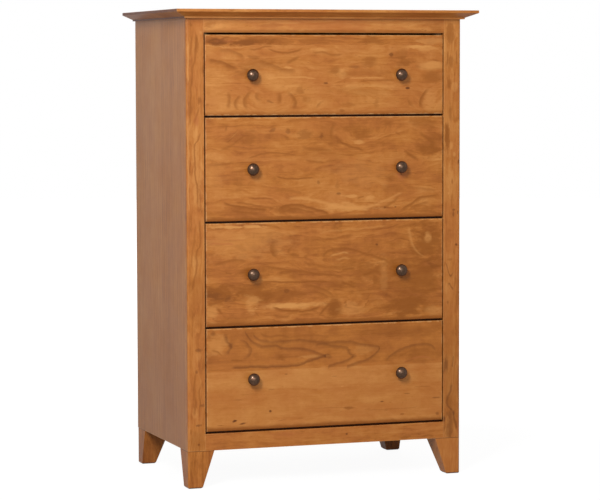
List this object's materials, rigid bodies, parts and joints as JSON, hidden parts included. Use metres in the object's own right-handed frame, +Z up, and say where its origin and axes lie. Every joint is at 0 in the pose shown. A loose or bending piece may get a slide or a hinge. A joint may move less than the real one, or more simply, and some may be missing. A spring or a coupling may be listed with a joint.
{
  "type": "chest of drawers",
  "caption": "Tall chest of drawers in solid cherry: dovetailed drawers slide on wooden web frames, with round bronze knobs, a bevelled top and tapered feet.",
  "frame": {"origin": "on the floor, at the centre of the footprint of the whole chest", "axes": "+Z up, +Y from the drawer fronts towards the back, +X to the right as seen from the front"},
  "size_m": [0.821, 0.512, 1.22],
  "materials": {
    "cherry_case": "clear satin varnish on cherry",
    "cherry_top": "clear satin varnish on cherry",
    "cherry_sides": "clear satin varnish on cherry",
    "cherry_feet": "clear satin varnish on cherry",
    "cherry_fronts": "clear satin varnish on figured cherry",
    "plywood_panels": "sealed birch plywood",
    "maple_boxes": "sealed maple",
    "poplar_frames": "bare poplar",
    "bronze_knobs": "dark oil-rubbed bronze",
    "steel_screws": "zinc-plated"
  },
  "bodies": {
    "case": {"top": "cherry_top", "side_left": "cherry_sides", "side_right": "cherry_sides", "stile_left": "cherry_case", "stile_right": "cherry_case", "top_rail": "cherry_case", "bottom_rail": "cherry_case", "back_panel": "plywood_panels", "foot_front_left": "cherry_feet", "foot_front_right": "cherry_feet", "foot_rear_left": "cherry_feet", "foot_rear_right": "cherry_feet", "corner_blocks": "poplar_frames", "frame_1_front": "poplar_frames", "frame_2_front": "poplar_frames", "frame_3_front": "poplar_frames", "frame_4_front": "poplar_frames", "frame_5_front": "poplar_frames", "frame_1_rear": "poplar_frames", "frame_2_rear": "poplar_frames", "frame_3_rear": "poplar_frames", "frame_4_rear": "poplar_frames", "frame_5_rear": "poplar_frames", "frame_1_runners": "poplar_frames", "frame_2_runners": "poplar_frames", "frame_3_runners": "poplar_frames", "frame_4_runners": "poplar_frames", "frame_5_runners": "poplar_frames", "drawer_guides": "maple_boxes", "kickers": "maple_boxes", "case_screws": "steel_screws", "back_screws": "steel_screws"},
    "drawer_1": {"drawer_1_front": "cherry_fronts", "drawer_1_side_left": "maple_boxes", "drawer_1_side_right": "maple_boxes", "drawer_1_back": "maple_boxes", "drawer_1_bottom": "plywood_panels", "drawer_1_knobs": "bronze_knobs", "drawer_1_knob_screws": "steel_screws"},
    "drawer_2": {"drawer_2_front": "cherry_fronts", "drawer_2_side_left": "maple_boxes", "drawer_2_side_right": "maple_boxes", "drawer_2_back": "maple_boxes", "drawer_2_bottom": "plywood_panels", "drawer_2_knobs": "bronze_knobs", "drawer_2_knob_screws": "steel_screws"},
    "drawer_3": {"drawer_3_front": "cherry_fronts", "drawer_3_side_left": "maple_boxes", "drawer_3_side_right": "maple_boxes", "drawer_3_back": "maple_boxes", "drawer_3_bottom": "plywood_panels", "drawer_3_knobs": "bronze_knobs", "drawer_3_knob_screws": "steel_screws"},
    "drawer_4": {"drawer_4_front": "cherry_fronts", "drawer_4_side_left": "maple_boxes", "drawer_4_side_right": "maple_boxes", "drawer_4_back": "maple_boxes", "drawer_4_bottom": "plywood_panels", "drawer_4_knobs": "bronze_knobs", "drawer_4_knob_screws": "steel_screws"}
  },
  "joints": [
    {"name": "drawer_1_slide", "type": "slide", "parent": "case", "child": "drawer_1", "axis": [0, -1, 0], "range_m": [0, 0.34]},
    {"name": "drawer_2_slide", "type": "slide", "parent": "case", "child": "drawer_2", "axis": [0, -1, 0], "range_m": [0, 0.34]},
    {"name": "drawer_3_slide", "type": "slide", "parent": "case", "child": "drawer_3", "axis": [0, -1, 0], "range_m": [0, 0.34]},
    {"name": "drawer_4_slide", "type": "slide", "parent": "case", "child": "drawer_4", "axis": [0, -1, 0], "range_m": [0, 0.34]}
  ]
}
